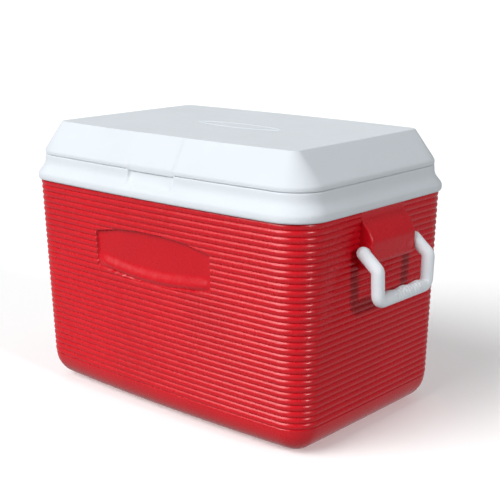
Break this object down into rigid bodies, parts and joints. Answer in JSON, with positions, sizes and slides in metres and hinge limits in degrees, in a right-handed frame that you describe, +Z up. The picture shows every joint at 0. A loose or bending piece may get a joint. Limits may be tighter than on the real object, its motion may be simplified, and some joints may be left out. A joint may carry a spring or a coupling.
{
  "type": "insulated cooler chest",
  "caption": "Moulded insulated picnic cooler with a ribbed tub, a hinged foam-filled lid, swing handles at both ends and a drain with a push-in plug.",
  "frame": {"origin": "on the floor, under the middle of the overall box", "axes": "+X along the long side, through the two handles; the front with the recessed panel and thumb notch faces -Y; +Z up"},
  "size_m": [0.6662, 0.39, 0.432],
  "materials": {
    "red_plastic": "satin moulded polyethylene with a fine grain",
    "white_plastic": "satin moulded polyethylene, cool white",
    "hinge_plastic": "satin moulded nylon, cool white",
    "foam": "rigid foamed-in-place polyurethane, matte",
    "rubber": "soft black rubber",
    "steel": "plain stainless steel"
  },
  "bodies": {
    "tub": {"outer_shell": "red_plastic", "inner_liner": "white_plastic", "tub_foam": "foam", "drain_spout": "white_plastic", "drain_gasket": "rubber", "drain_nut": "white_plastic", "hinge_leaf_body_left": "hinge_plastic", "hinge_leaf_body_right": "hinge_plastic", "hinge_pin_left": "steel", "hinge_pin_right": "steel", "screw_body_left_a": "steel", "screw_body_left_b": "steel", "screw_body_right_a": "steel", "screw_body_right_b": "steel"},
    "lid": {"lid_shell": "white_plastic", "lid_liner": "white_plastic", "lid_foam": "foam", "hinge_leaf_lid_left": "hinge_plastic", "hinge_leaf_lid_right": "hinge_plastic", "screw_lid_left_a": "steel", "screw_lid_left_b": "steel", "screw_lid_right_a": "steel", "screw_lid_right_b": "steel"},
    "right_handle": {"handle_right": "white_plastic"},
    "left_handle": {"handle_left": "white_plastic"},
    "plug": {"drain_plug": "white_plastic"}
  },
  "joints": [
    {"name": "lid_hinge", "type": "hinge", "parent": "tub", "child": "lid", "pos_m": [0, 0.1912, 0.3802], "axis": [-1, 0, 0], "range_deg": [0, 105]},
    {"name": "right_handle_swing", "type": "hinge", "parent": "tub", "child": "right_handle", "pos_m": [0.299, 0, 0.285], "axis": [0, -1, 0], "range_deg": [0, 130]},
    {"name": "left_handle_swing", "type": "hinge", "parent": "tub", "child": "left_handle", "pos_m": [-0.299, 0, 0.285], "axis": [0, 1, 0], "range_deg": [0, 130]},
    {"name": "drain_plug_pull", "type": "slide", "parent": "tub", "child": "plug", "axis": [-1, 0, 0], "range_m": [0, 0.03]}
  ]
}
